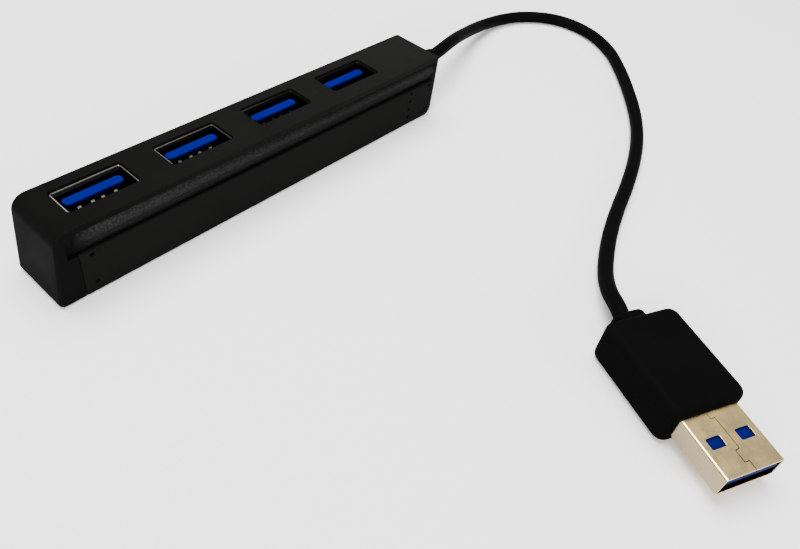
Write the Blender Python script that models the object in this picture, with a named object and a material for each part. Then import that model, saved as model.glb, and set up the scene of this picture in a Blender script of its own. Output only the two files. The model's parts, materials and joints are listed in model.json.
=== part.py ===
"""Four-port bar hub with a captive lead: housing, four upright sockets, circuit board, lead and plug.

Metres. +X runs from the free end to the end where the lead leaves, -Y is the front with the trim, +Z is up.
The origin is the middle of the hub's underside. The sockets open upwards. The lead lies on the surface
that the hub stands on and ends in its plug, which lies flat on that surface.
"""

import math

import bmesh
import bpy
from mathutils import Vector

MM = 0.001
GAP = 0.3 * MM  # between pieces that touch on the real object
CUT_REACH = 2.0 * MM  # how far a cutter reaches past the piece that it cuts

# Housing
HALF_LENGTH = 49.9 * MM
HALF_WIDTH = 6.8 * MM
HEIGHT = 15.6 * MM
END_LEAN = 1.8 * MM  # how far the free end leans in from foot to top
END_ROUNDING = 3.0 * MM  # radius between the top and the free end
FOOT_ROUNDING = (1.0 * MM, 2.0 * MM)  # radii between the underside and the free and the cable end
EDGE_ROUNDING = 0.55 * MM
TOP_WALL = 1.2 * MM
SIDE_WALL = 1.2 * MM
FRONT_WALL_IN = -4.4 * MM  # inner face of the front wall
FREE_END_WALL = 2.5 * MM
CABLE_END_WALL = 1.4 * MM
ROUND_SIDES = 20  # sides of the round holes and cans

# Front trim: one recess holds the panel below and the bead above
RECESS_START = -44.75 * MM
RECESS_END = HALF_LENGTH - CABLE_END_WALL
RECESS_FLOOR = -5.5 * MM
RECESS_TOP = 14.5 * MM
TRIM_BACK = RECESS_FLOOR - GAP
PANEL_TOP = 9.55 * MM
PANEL_FOOT = 0.15 * MM
PANEL_ROUNDING = 0.3 * MM
BEAD_WIDTH = 4.0 * MM
BEAD_RISE = 0.8 * MM
STRIP_FLANGE = -5.95 * MM
STRIP_START = -46.5 * MM  # the strip's flange runs on past the bead, in a hollow
BEAD_START = -44.6 * MM
BEAD_STEPS = 10
DIMPLE_RADIUS = 0.38 * MM
DIMPLE_DEPTH = 0.4 * MM
DIMPLE_PAIRS_X = (-42.3 * MM, 47.4 * MM)
DIMPLE_PAIR_HEIGHTS = (2.3 * MM, 8.7 * MM)
DIMPLE_COLUMN_X = 40.9 * MM
DIMPLE_COLUMN_HEIGHTS = (2.2 * MM, 4.4 * MM, 6.6 * MM, 8.8 * MM)

# Base and circuit board
BASE_THICKNESS = 1.0 * MM
BASE_CHAMFER = 0.2 * MM
POST_RADIUS = 1.0 * MM
POST_PLACES = (-45.0 * MM, -25.6 * MM, 15.5 * MM, 36.0 * MM)
POST_INSET = 1.6 * MM  # from the long edges of the board
BOARD_FOOT = 2.0 * MM
BOARD_TOP = 3.0 * MM
BOARD_X = (-46.0 * MM, 46.5 * MM)
BOARD_Y = (-3.9 * MM, 5.1 * MM)
CONTROLLER_SIZE = (6.0 * MM, 6.0 * MM, 0.9 * MM)
REGULATOR_SIZE = (4.5 * MM, 2.5 * MM, 1.5 * MM)
CRYSTAL_SIZE = (3.2 * MM, 5.0 * MM, 1.0 * MM)
CRYSTAL_INSET = 1.2 * MM
PACKAGE_CHAMFER = 0.15 * MM
CAN_RADIUS = 2.0 * MM
CAN_HEIGHT = 5.4 * MM
CAN_ROUNDING = 0.25 * MM
CAN_INSET = 9.1 * MM  # from the middle of the first socket

# Sockets
PORT_COUNT = 4
PORT_FIRST = -36.0 * MM
PORT_PITCH = 20.55 * MM
PORT_Y = 0.6 * MM  # the sockets sit a little behind the middle
PORT_RIM = HEIGHT - 0.4 * MM
SHELL_LENGTH = 13.1 * MM
SHELL_WIDTH = 5.7 * MM
SHELL_SHEET = 0.3 * MM
SHELL_CORNER = 0.6 * MM
LIP_LENGTH = 13.6 * MM  # the mouth flares out to this size
LIP_WIDTH = 6.5 * MM
LIP_DEPTH = 0.6 * MM
SHELL_FOOT = BOARD_TOP + GAP
LEG_FOOT = 1.9 * MM
LEG_WIDTH = 1.2 * MM
FINGER_OFFSET = 3.1 * MM  # two sprung fingers on each broad side
FINGER_HALF = 0.9 * MM
FINGER_ROOT = 3.6 * MM  # heights above the shell's foot
FINGER_TIP = 8.2 * MM
FINGER_SLIT = 0.25 * MM
TONGUE_LENGTH = 11.4 * MM
TONGUE_FRONT = -0.2 * MM  # faces of the tongue, counted from the socket's middle
TONGUE_BACK = 1.8 * MM
TONGUE_TIP = 14.35 * MM
TONGUE_BASE_TOP = 3.8 * MM
TONGUE_BASE_HALF = 2.25 * MM
TONGUE_ROUNDING = 0.22 * MM
GROOVE_WIDTH = 1.25 * MM
GROOVE_FLOOR = 1.25 * MM
GROOVE_TOP = 13.4 * MM
CONTACT_OFFSETS = (-3.5 * MM, -1.0 * MM, 1.0 * MM, 3.5 * MM)
LEAF_WIDTH = 0.65 * MM
LEAF_SHEET = 0.2 * MM
LEAF_Y = 0.45 * MM
LEAF_ROOT = 4.3 * MM  # height of the bending line that the leaf's hinge stands for
LEAF_BUMP = -0.75 * MM
LEAF_BUMP_HEIGHT = 12.2 * MM
LEAF_BOW = (  # the bow's points, counted from the front of the bump
    (1.0 * MM, -3.4 * MM),
    (0.88 * MM, -2.4 * MM),
    (0.32 * MM, -0.8 * MM),
    (0.06 * MM, -0.3 * MM),
    (0.0, 0.0),
    (0.1 * MM, 0.25 * MM),
    (0.36 * MM, 0.55 * MM),
    (0.7 * MM, 0.78 * MM),
)

# Gland and lead
EXIT_Y = 0.7 * MM
EXIT_Z = 9.6 * MM
GLAND_NECK = 2.2 * MM
GLAND_FLANGE = 3.2 * MM
GLAND_BUTT = 2.8 * MM
GLAND_NOSE = 2.2 * MM
GLAND_LENGTH = 7.4 * MM
GLAND_SEAT = 1.0 * MM  # thickness of the flange that holds the gland inside the wall
GLAND_CHAMFER = 0.2 * MM
GLAND_SHOULDER = 1.2 * MM  # length of the butt before the taper
GLAND_STEP = (0.5 * MM, 0.25 * MM)  # from the butt to the taper: along, and in
GLAND_END = (0.3 * MM, 0.15 * MM)  # the worn edge of the nose: along, and in
TAIL_START = 1.6 * MM  # from the wall's inner face
TAIL_BEND = ((0.0, 0.0), (1.5 * MM, 0.0), (3.4 * MM, 0.8 * MM), (5.0 * MM, 2.0 * MM))  # in, and down
CORE_RADIUS = 0.3 * MM
CORE_SPREAD = 0.72 * MM  # between two cores where they leave the jacket
CORE_FAN = 1.15  # how much further apart they are at the end of their straight start
CORE_START = 1.2 * MM
CORE_BEND = (2.3 * MM, 1.9 * MM)  # in, and down, from the jacket's end
CORE_REACH = 2.9 * MM
CORE_PITCH = 1.5 * MM  # between two cores on the board
CORE_LANDING = BOARD_TOP + 0.5 * MM
SOCKET_DEPTH = 1.0 * MM  # how deep the lead's ends sit in the gland and in the plug's grip
CORD_RADIUS = 1.6 * MM
CORD_POINTS = 40

# Plug, in its own frame: +X towards the mouth, mouth at 0, +Z up
PLUG_MOUTH = Vector((5.4 * MM, -107.0 * MM, 4.35 * MM))
PLUG_HEADING = math.radians(-116.0)
PLUG_LENGTH = 12.0 * MM
PLUG_WIDTH = 4.5 * MM
PLUG_SHOWN = 10.9 * MM
PLUG_BURIED = 1.9 * MM
PLUG_CORNER = 0.5 * MM
PLUG_PLAY = 0.2 * MM  # round the pieces inside the plug's shell
WINDOW_REAR = -6.9 * MM
WINDOW_FRONT = -4.9 * MM
WINDOW_INNER = 1.55 * MM  # sides of the windows, counted from the middle line
WINDOW_OUTER = 4.45 * MM
SEAM = (  # the line where the folded sheet's ends meet
    (1.0 * MM, 0.0),
    (-1.65 * MM, 0.0),
    (-1.65 * MM, -0.9 * MM),
    (-3.75 * MM, -0.9 * MM),
    (-3.95 * MM, 0.0),
    (-9.7 * MM, 0.0),
    (-9.7 * MM, -0.85 * MM),
    (-14.0 * MM, -0.85 * MM),
)
SEAM_SIDES = ((0, 1), (-1, 1), (-1, 1), (0.8, 1), (0.8, 1), (-1, 1), (-1, 1), (0, 1))  # mitres
SEAM_HALF = 0.05 * MM
BLADE_REAR = -9.2 * MM
BLADE_FRONT = -1.2 * MM
BLADE_HALF_WIDTH = 0.5 * MM
BLADE_FACE = 0.03 * MM
BLADE_SHEET = 0.25 * MM
BLADE_GROOVE = 0.5 * MM
GRIP_LENGTH = 20.2 * MM
GRIP_HALF_WIDTH = 7.8 * MM
GRIP_HALF_HEIGHT = 4.3 * MM
GRIP_CORNER = 2.2 * MM
GRIP_EDGE = 1.0 * MM
COLLAR_LENGTH = 2.2 * MM
COLLAR_HALF_WIDTH = 3.5 * MM
COLLAR_HALF_HEIGHT = 2.7 * MM
COLLAR_CORNER = 2.0 * MM
COLLAR_ROUNDING = 0.8 * MM
LEAD_IN = 0.9 * MM  # straight run of the lead in front of the collar


def material(name, color, roughness, metallic=0.0):
    made = bpy.data.materials.new(name)
    made.use_nodes = True
    shader = made.node_tree.nodes["Principled BSDF"]
    shader.inputs["Base Color"].default_value = (*color, 1.0)
    shader.inputs["Roughness"].default_value = roughness
    shader.inputs["Metallic"].default_value = metallic
    return made


def add_object(name, mesh, finish=None):
    made = bpy.data.objects.new(name, mesh)
    bpy.context.scene.collection.objects.link(made)
    if finish is not None:
        mesh.materials.append(finish)
    return made


def mesh_of(shape, name):
    bmesh.ops.recalc_face_normals(shape, faces=shape.faces)
    mesh = bpy.data.meshes.new(name)
    shape.to_mesh(mesh)
    shape.free()
    return mesh


def shade(made, angle=35.0):
    made.data.shade_smooth()
    made.data.set_sharp_from_angle(angle=math.radians(angle))


def rounded_outline(corners, steps=4):
    """Points of a closed outline. Each corner is (a, b, radius); a radius above 0 becomes an arc."""
    points = []
    count = len(corners)
    for index, (a, b, radius) in enumerate(corners):
        here = Vector((a, b))
        if radius <= 0.0:
            points.append(here)
            continue
        back = (Vector(corners[index - 1][:2]) - here).normalized()
        ahead = (Vector(corners[(index + 1) % count][:2]) - here).normalized()
        half = back.angle(ahead) / 2
        centre = here + (back + ahead).normalized() * (radius / math.sin(half))
        start = here + back * (radius / math.tan(half)) - centre
        end = here + ahead * (radius / math.tan(half)) - centre
        sweep = start.angle_signed(end)
        for step in range(steps + 1):
            turn = -sweep * step / steps
            points.append(
                centre
                + Vector(
                    (
                        start.x * math.cos(turn) - start.y * math.sin(turn),
                        start.x * math.sin(turn) + start.y * math.cos(turn),
                    )
                )
            )
    return points


def rounded_rectangle(half_a, half_b, radius, steps=4):
    corners = [
        (-half_a, -half_b, radius),
        (half_a, -half_b, radius),
        (half_a, half_b, radius),
        (-half_a, half_b, radius),
    ]
    return rounded_outline(corners, steps)


# Where the outline's two coordinates and the extrusion go, for each extrusion axis
PLACES = {
    "X": lambda a, b, along: (along, a, b),
    "Y": lambda a, b, along: (a, along, b),
    "Z": lambda a, b, along: (a, b, along),
}


def add_prism(shape, outline, axis, start, end):
    place = PLACES[axis]
    low = [shape.verts.new(place(a, b, start)) for a, b in outline]
    high = [shape.verts.new(place(a, b, end)) for a, b in outline]
    shape.faces.new(low)
    shape.faces.new(list(reversed(high)))
    for index in range(len(outline)):
        after = (index + 1) % len(outline)
        shape.faces.new((low[index], high[index], high[after], low[after]))


def prism(name, outline, axis, start, end, finish=None):
    shape = bmesh.new()
    add_prism(shape, outline, axis, start, end)
    return add_object(name, mesh_of(shape, name), finish)


def add_box(shape, low, high):
    outline = [(low[0], low[1]), (high[0], low[1]), (high[0], high[1]), (low[0], high[1])]
    add_prism(shape, outline, "Z", low[2], high[2])


def boxes(name, spans, finish=None):
    """One mesh of the boxes given as (low corner, high corner)."""
    shape = bmesh.new()
    for low, high in spans:
        add_box(shape, low, high)
    return add_object(name, mesh_of(shape, name), finish)


def sleeve(name, rings, axis, finish):
    """A tube through rings given as (outline, place along the axis): up outside, down inside."""
    shape = bmesh.new()
    place = PLACES[axis]
    loops = [[shape.verts.new(place(a, b, along)) for a, b in outline] for outline, along in rings]
    for index, loop in enumerate(loops):
        following = loops[(index + 1) % len(loops)]
        for step in range(len(loop)):
            after = (step + 1) % len(loop)
            shape.faces.new((loop[step], following[step], following[after], loop[after]))
    return add_object(name, mesh_of(shape, name), finish)


def add_cylinder(shape, centre, radius, axis, start, end, sides):
    outline = [
        (
            centre[0] + radius * math.cos(math.tau * side / sides),
            centre[1] + radius * math.sin(math.tau * side / sides),
        )
        for side in range(sides)
    ]
    add_prism(shape, outline, axis, start, end)


def turned(name, profile, middle, finish, sides=20):
    """A solid turned about a line along X through middle = (y, z). profile is (x, radius), end to end."""
    shape = bmesh.new()
    rings = []
    for x, radius in profile:
        ring = []
        for side in range(sides):
            angle = math.tau * side / sides
            y = middle[0] + radius * math.cos(angle)
            z = middle[1] + radius * math.sin(angle)
            ring.append(shape.verts.new((x, y, z)))
        rings.append(ring)
    for first, second in zip(rings, rings[1:]):
        for side in range(sides):
            after = (side + 1) % sides
            shape.faces.new((first[side], first[after], second[after], second[side]))
    shape.faces.new(rings[0])
    shape.faces.new(rings[-1])
    return add_object(name, mesh_of(shape, name), finish)


def bevel(made, width, segments=2, angle=40.0):
    modifier = made.modifiers.new("Rounded edges", "BEVEL")
    modifier.width = width
    modifier.segments = segments
    modifier.limit_method = "ANGLE"
    modifier.angle_limit = math.radians(angle)


def combine(made, other, operation):
    modifier = made.modifiers.new(other.name, "BOOLEAN")
    modifier.operation = operation
    modifier.solver = "EXACT"
    modifier.object = other
    other.hide_render = True
    other.display_type = "WIRE"


def cut(made, cutter):
    combine(made, cutter, "DIFFERENCE")


def join(made, other):
    combine(made, other, "UNION")


def smooth_path(route, count):
    """Evenly spaced points along a Catmull-Rom curve through the route's points."""
    ends = [2 * route[0] - route[1], *route, 2 * route[-1] - route[-2]]
    fine = []
    for index in range(1, len(ends) - 2):
        before, here, after, beyond = ends[index - 1 : index + 3]
        for step in range(24):
            t = step / 24
            fine.append(
                0.5
                * (
                    2 * here
                    + (after - before) * t
                    + (2 * before - 5 * here + 4 * after - beyond) * t**2
                    + (3 * here - before - 3 * after + beyond) * t**3
                )
            )
    fine.append(route[-1])
    reach = [0.0]
    for first, second in zip(fine, fine[1:]):
        reach.append(reach[-1] + (second - first).length)
    points = []
    index = 0
    for step in range(count):
        wanted = reach[-1] * step / (count - 1)
        while index < len(fine) - 2 and reach[index + 1] < wanted:
            index += 1
        share = (wanted - reach[index]) / (reach[index + 1] - reach[index])
        points.append(fine[index].lerp(fine[index + 1], share))
    return points


def tube(name, points, radius, finish):
    curve = bpy.data.curves.new(name, "CURVE")
    curve.dimensions = "3D"
    curve.bevel_depth = radius
    curve.bevel_resolution = 2
    curve.use_fill_caps = True
    spline = curve.splines.new("POLY")
    spline.points.add(len(points) - 1)
    for place, point in zip(spline.points, points):
        place.co = (*point, 1.0)
    curve.materials.append(finish)
    made = bpy.data.objects.new(name, curve)
    bpy.context.scene.collection.objects.link(made)
    return made


def port_middle(index):
    return PORT_FIRST + PORT_PITCH * index


def port_outline(index, length, width, corner, steps=4):
    middle = port_middle(index)
    outline = rounded_rectangle(length / 2, width / 2, corner, steps)
    return [(a + middle, b + PORT_Y) for a, b in outline]


def cut_port_holes(housing):
    shape = bmesh.new()
    for index in range(PORT_COUNT):
        room = 2 * GAP
        outline = port_outline(index, LIP_LENGTH + room, LIP_WIDTH + room, SHELL_CORNER + GAP, steps=3)
        add_prism(shape, outline, "Z", HEIGHT - 2 * TOP_WALL, 2 * HEIGHT)
    cut(housing, add_object("port_cutter", mesh_of(shape, "port_cutter")))


def make_top_housing(finish):
    side_view = rounded_outline(
        [
            (-HALF_LENGTH, 0.0, FOOT_ROUNDING[0]),
            (HALF_LENGTH, 0.0, FOOT_ROUNDING[1]),
            (HALF_LENGTH, HEIGHT, 0.0),
            (-HALF_LENGTH + END_LEAN, HEIGHT, END_ROUNDING),
        ],
        steps=7,
    )
    housing = prism("top_housing", side_view, "Y", -HALF_WIDTH, HALF_WIDTH, finish)
    bevel(housing, EDGE_ROUNDING, segments=3)
    below = -CUT_REACH
    cavity = boxes(
        "cavity_cutter",
        [
            (
                (-HALF_LENGTH + FREE_END_WALL, FRONT_WALL_IN, below),
                (HALF_LENGTH - CABLE_END_WALL, HALF_WIDTH - SIDE_WALL, HEIGHT - TOP_WALL),
            )
        ],
    )
    cut(housing, cavity)
    recess = boxes(
        "recess_cutter",
        [((RECESS_START, -2 * HALF_WIDTH, below), (RECESS_END, RECESS_FLOOR, RECESS_TOP))],
    )
    cut(housing, recess)
    hollow = boxes(
        "hollow_cutter",
        [((STRIP_START, -2 * HALF_WIDTH, PANEL_TOP), (RECESS_START + GAP, RECESS_FLOOR, RECESS_TOP))],
    )
    cut(housing, hollow)
    cut_port_holes(housing)
    shape = bmesh.new()
    bore = GLAND_NECK + GAP
    inside = HALF_LENGTH - 2 * CABLE_END_WALL
    add_cylinder(shape, (EXIT_Y, EXIT_Z), bore, "X", inside, 2 * HALF_LENGTH, ROUND_SIDES)
    cut(housing, add_object("exit_cutter", mesh_of(shape, "exit_cutter")))
    return housing


def make_front_panel(finish):
    panel = boxes(
        "front_panel",
        [((RECESS_START + GAP, -HALF_WIDTH, PANEL_FOOT), (RECESS_END - GAP, TRIM_BACK, PANEL_TOP))],
        finish,
    )
    bevel(panel, PANEL_ROUNDING)
    shape = bmesh.new()
    places = [(x, z) for x in DIMPLE_PAIRS_X for z in DIMPLE_PAIR_HEIGHTS]
    places += [(DIMPLE_COLUMN_X, z) for z in DIMPLE_COLUMN_HEIGHTS]
    for place in places:
        add_cylinder(shape, place, DIMPLE_RADIUS, "Y", -2 * HALF_WIDTH, DIMPLE_DEPTH - HALF_WIDTH, 10)
    cut(panel, add_object("dimple_cutter", mesh_of(shape, "dimple_cutter")))


def make_trim_strip(finish):
    foot = PANEL_TOP + GAP
    head = RECESS_TOP - GAP
    middle = (foot + head) / 2
    half = BEAD_WIDTH / 2
    radius = (half**2 + BEAD_RISE**2) / (2 * BEAD_RISE)
    opening = math.asin(half / radius)
    outline = [(TRIM_BACK, foot), (TRIM_BACK, head), (STRIP_FLANGE, head)]
    for step in range(BEAD_STEPS + 1):
        angle = opening * (1 - 2 * step / BEAD_STEPS)
        bulge = radius * math.cos(angle) - (radius - BEAD_RISE)
        outline.append((STRIP_FLANGE - bulge, middle + radius * math.sin(angle)))
    outline.append((STRIP_FLANGE, foot))
    strip = prism("trim_strip", outline, "X", STRIP_START + GAP, RECESS_END - GAP, finish)
    past_bead = boxes(
        "bead_end_cutter",
        [((-2 * HALF_LENGTH, -2 * HALF_WIDTH, 0.0), (BEAD_START, STRIP_FLANGE, HEIGHT))],
    )
    cut(strip, past_bead)
    shade(strip)


def make_base_cover(finish):
    cover = boxes(
        "base_cover",
        [
            (
                (-HALF_LENGTH + FREE_END_WALL + GAP, FRONT_WALL_IN + GAP, 0.0),
                (HALF_LENGTH - CABLE_END_WALL - GAP, HALF_WIDTH - SIDE_WALL - GAP, BASE_THICKNESS),
            )
        ],
        finish,
    )
    bevel(cover, BASE_CHAMFER, segments=1)
    shape = bmesh.new()
    for x in POST_PLACES:
        for y in (BOARD_Y[0] + POST_INSET, BOARD_Y[1] - POST_INSET):
            add_cylinder(shape, (x, y), POST_RADIUS, "Z", BASE_THICKNESS / 2, BOARD_FOOT - GAP, 10)
    join(cover, add_object("posts", mesh_of(shape, "posts")))


def make_circuit_board(finish):
    board = boxes(
        "circuit_board",
        [((BOARD_X[0], BOARD_Y[0], BOARD_FOOT), (BOARD_X[1], BOARD_Y[1], BOARD_TOP))],
        finish,
    )
    spans = []
    for index in range(PORT_COUNT):
        for side in (-1, 1):
            x = port_middle(index) + side * (SHELL_LENGTH - SHELL_SHEET) / 2
            half_x = SHELL_SHEET / 2 + GAP
            half_y = LEG_WIDTH / 2 + GAP
            spans.append(
                (
                    (x - half_x, PORT_Y - half_y, BOARD_FOOT / 2),
                    (x + half_x, PORT_Y + half_y, 2 * BOARD_TOP),
                )
            )
    cut(board, boxes("leg_slot_cutter", spans))


def make_port_shell(index, finish):
    name = f"port_{index + 1}_shell"
    middle = port_middle(index)
    body = port_outline(index, SHELL_LENGTH, SHELL_WIDTH, SHELL_CORNER)
    lip = port_outline(index, LIP_LENGTH, LIP_WIDTH, SHELL_CORNER)
    sheet = 2 * SHELL_SHEET
    body_inside = port_outline(index, SHELL_LENGTH - sheet, SHELL_WIDTH - sheet, SHELL_CORNER - SHELL_SHEET)
    lip_inside = port_outline(index, LIP_LENGTH - sheet, LIP_WIDTH - sheet, SHELL_CORNER - SHELL_SHEET)
    neck = PORT_RIM - LIP_DEPTH
    rings = [
        (body, LEG_FOOT),
        (body, neck),
        (lip, PORT_RIM),
        (lip_inside, PORT_RIM),
        (body_inside, neck),
        (body_inside, LEG_FOOT),
    ]
    shell = sleeve(name, rings, "Z", finish)
    # Below the shell's foot only two legs are left, one on each short side.
    reach = SHELL_LENGTH
    spans = []
    for side in (-1, 1):
        y = sorted((PORT_Y + side * LEG_WIDTH / 2, PORT_Y + side * reach))
        spans.append(((middle - reach, y[0], 0.0), (middle + reach, y[1], SHELL_FOOT)))
    cut(shell, boxes(name + "_leg_cutter", spans))
    # Each broad side has two sprung fingers, cut free on three sides.
    shape = bmesh.new()
    half = FINGER_HALF
    slit = FINGER_SLIT
    root = SHELL_FOOT + FINGER_ROOT
    free = SHELL_FOOT + FINGER_TIP
    for side in (-1, 1):
        x = middle + side * FINGER_OFFSET
        outline = [
            (x - half - slit, root),
            (x - half, root),
            (x - half, free),
            (x + half, free),
            (x + half, root),
            (x + half + slit, root),
            (x + half + slit, free + slit),
            (x - half - slit, free + slit),
        ]
        add_prism(shape, outline, "Y", PORT_Y - reach, PORT_Y + reach)
    cut(shell, add_object(name + "_finger_cutter", mesh_of(shape, name + "_finger_cutter")))
    shade(shell)


def make_port_tongue(name, middle, finish):
    half = TONGUE_BASE_HALF
    outline = [
        (PORT_Y - half, SHELL_FOOT),
        (PORT_Y + half, SHELL_FOOT),
        (PORT_Y + half, TONGUE_BASE_TOP),
        (PORT_Y + TONGUE_BACK, TONGUE_BASE_TOP),
        (PORT_Y + TONGUE_BACK, TONGUE_TIP),
        (PORT_Y + TONGUE_FRONT, TONGUE_TIP),
        (PORT_Y + TONGUE_FRONT, TONGUE_BASE_TOP),
        (PORT_Y - half, TONGUE_BASE_TOP),
    ]
    tongue = prism(name, outline, "X", middle - TONGUE_LENGTH / 2, middle + TONGUE_LENGTH / 2, finish)
    bevel(tongue, TONGUE_ROUNDING)
    spans = []
    for offset in CONTACT_OFFSETS:
        x = middle + offset
        spans.append(
            (
                (x - GROOVE_WIDTH / 2, PORT_Y - TONGUE_BASE_HALF - GAP, 0.0),
                (x + GROOVE_WIDTH / 2, PORT_Y + GROOVE_FLOOR, GROOVE_TOP),
            )
        )
    cut(tongue, boxes(name + "_groove_cutter", spans))


def leaf_outline():
    """Side view of a contact leaf: a strip that rises, bows out in one bump and tucks back in."""
    line = [Vector((LEAF_Y, SHELL_FOOT)), Vector((LEAF_Y, LEAF_ROOT))]
    line += [Vector((LEAF_BUMP + forward, LEAF_BUMP_HEIGHT + above)) for forward, above in LEAF_BOW]
    sides = ([], [])
    for index, point in enumerate(line):
        before = line[max(index - 1, 0)]
        after = line[min(index + 1, len(line) - 1)]
        along = (after - before).normalized()
        across = Vector((-along.y, along.x)) * LEAF_SHEET / 2
        sides[0].append(point + across)
        sides[1].append(point - across)
    return sides[0] + list(reversed(sides[1]))


def make_contact_leaf(name, x, finish):
    """The leaf's origin is on its bending line, so that it turns about its own root."""
    hinge = Vector((x, PORT_Y + LEAF_Y, LEAF_ROOT))
    outline = [(a - LEAF_Y, b - LEAF_ROOT) for a, b in leaf_outline()]
    leaf = prism(name, outline, "X", -LEAF_WIDTH / 2, LEAF_WIDTH / 2, finish)
    leaf.location = hinge
    shade(leaf)


def make_ports(finishes):
    for index in range(PORT_COUNT):
        name = f"port_{index + 1}"
        middle = port_middle(index)
        make_port_shell(index, finishes["nickel"])
        make_port_tongue(f"{name}_tongue", middle, finishes["blue"])
        for number, offset in enumerate(CONTACT_OFFSETS, start=1):
            make_contact_leaf(f"{name}_contact_{number}", middle + offset, finishes["gold"])


def make_package(name, x, size, finish, edge):
    floor = BOARD_TOP + GAP
    low = (x - size[0] / 2, PORT_Y - size[1] / 2, floor)
    high = (x + size[0] / 2, PORT_Y + size[1] / 2, floor + size[2])
    made = boxes(name, [(low, high)], finish)
    bevel(made, edge, segments=1)


def make_capacitor(name, x, finish):
    shape = bmesh.new()
    floor = BOARD_TOP + GAP
    add_cylinder(shape, (x, PORT_Y), CAN_RADIUS, "Z", floor, floor + CAN_HEIGHT, ROUND_SIDES)
    can = add_object(name, mesh_of(shape, name), finish)
    bevel(can, CAN_ROUNDING)
    shade(can)


def make_board_parts(finishes):
    between = [port_middle(index) + PORT_PITCH / 2 for index in range(PORT_COUNT)]
    make_package("hub_controller", between[1], CONTROLLER_SIZE, finishes["chip"], PACKAGE_CHAMFER)
    make_package("voltage_regulator", between[2], REGULATOR_SIZE, finishes["chip"], PACKAGE_CHAMFER)
    make_package("crystal", between[3] - CRYSTAL_INSET, CRYSTAL_SIZE, finishes["nickel"], PACKAGE_CHAMFER)
    make_capacitor("capacitor_1", between[0], finishes["can"])
    make_capacitor("capacitor_2", port_middle(0) - CAN_INSET, finishes["can"])


def make_gland(finish):
    inside = HALF_LENGTH - CABLE_END_WALL - GAP
    outside = HALF_LENGTH + GAP
    end = HALF_LENGTH + GLAND_LENGTH
    profile = [
        (inside - GLAND_SEAT, GLAND_FLANGE - GLAND_CHAMFER),
        (inside - GLAND_SEAT + GLAND_CHAMFER, GLAND_FLANGE),
        (inside, GLAND_FLANGE),
        (inside, GLAND_NECK),
        (outside, GLAND_NECK),
        (outside, GLAND_BUTT),
        (outside + GLAND_SHOULDER, GLAND_BUTT),
        (outside + GLAND_SHOULDER + GLAND_STEP[0], GLAND_BUTT - GLAND_STEP[1]),
        (end - GLAND_END[0], GLAND_NOSE),
        (end, GLAND_NOSE - GLAND_END[1]),
        (end, CORD_RADIUS + GAP),
        (end - SOCKET_DEPTH, CORD_RADIUS + GAP),
    ]
    gland = turned("cable_gland", profile, (EXIT_Y, EXIT_Z), finish)
    shade(gland)


def make_cable_tail(finishes):
    start = HALF_LENGTH - CABLE_END_WALL - TAIL_START
    route = [Vector((start - inward, EXIT_Y, EXIT_Z - down)) for inward, down in TAIL_BEND]
    tube("cable_tail", smooth_path(route, 7), CORD_RADIUS, finishes["cord"])
    away = (route[-1] - route[-2]).normalized()
    begin = route[-1] + away * GAP
    colours = ("red", "white", "green", "black")
    for number, colour in enumerate(colours, start=1):
        side = number - (len(colours) + 1) / 2
        spread = CORE_SPREAD * side
        landing = CORE_PITCH * side
        core = [
            begin + Vector((0.0, spread, 0.0)),
            begin + away * CORE_START + Vector((0.0, spread * CORE_FAN, 0.0)),
            Vector((begin.x - CORE_BEND[0], EXIT_Y + landing * 0.9, begin.z - CORE_BEND[1])),
            Vector((begin.x - CORE_REACH, EXIT_Y + landing, CORE_LANDING)),
        ]
        tube(f"core_wire_{number}", smooth_path(core, 9), CORE_RADIUS, finishes[colour])


def plug_place(u):
    """World place of a point on the plug's middle line, u from its mouth."""
    return PLUG_MOUTH + Vector((u * math.cos(PLUG_HEADING), u * math.sin(PLUG_HEADING), 0.0))


def cord_route():
    """Out of the gland, down, and along the surface in a loop and an S to the plug's collar."""
    start = HALF_LENGTH + GLAND_LENGTH - SOCKET_DEPTH + GAP
    collar = -(PLUG_SHOWN + GRIP_LENGTH + COLLAR_LENGTH)
    hand_chosen = [
        (61.9, 1.6, 9.6),
        (64.4, 2.2, 9.5),
        (67.2, 3.0, 9.2),
        (70.2, 3.9, 8.7),
        (73.5, 5.0, 8.0),
        (76.9, 6.1, 7.2),
        (80.5, 7.2, 6.3),
        (85.7, 8.7, 5.1),
        (90.4, 9.8, 4.1),
        (94.9, 10.7, 3.2),
        (100.0, 11.2, 2.4),
        (104.3, 11.2, 1.9),
        (108.6, 10.4, 1.7),
        (112.8, 8.7, 1.65),
        (116.5, 6.2, 1.65),
        (119.3, 3.5, 1.65),
        (121.4, 0.3, 1.65),
        (122.7, -3.9, 1.65),
        (122.7, -9.1, 1.65),
        (121.0, -14.8, 1.65),
        (117.0, -21.2, 1.65),
        (111.2, -27.2, 1.65),
        (102.5, -34.7, 1.65),
        (92.4, -42.3, 1.65),
        (82.4, -48.3, 1.65),
        (72.1, -52.9, 1.65),
        (61.8, -56.5, 1.65),
        (52.0, -59.4, 1.65),
        (43.6, -62.2, 1.65),
        (36.2, -65.3, 1.7),
        (30.0, -68.4, 2.2),
        (25.2, -71.5, 3.4),
        (22.0, -74.7, 4.2),
    ]
    points = [Vector((start, EXIT_Y, EXIT_Z))]
    points += [Vector(point) * MM for point in hand_chosen]
    points.append(plug_place(collar - LEAD_IN))
    points.append(plug_place(collar + SOCKET_DEPTH - GAP))
    return points


def make_cord(finish):
    tube("cord", smooth_path(cord_route(), CORD_POINTS), CORD_RADIUS, finish)


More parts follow.
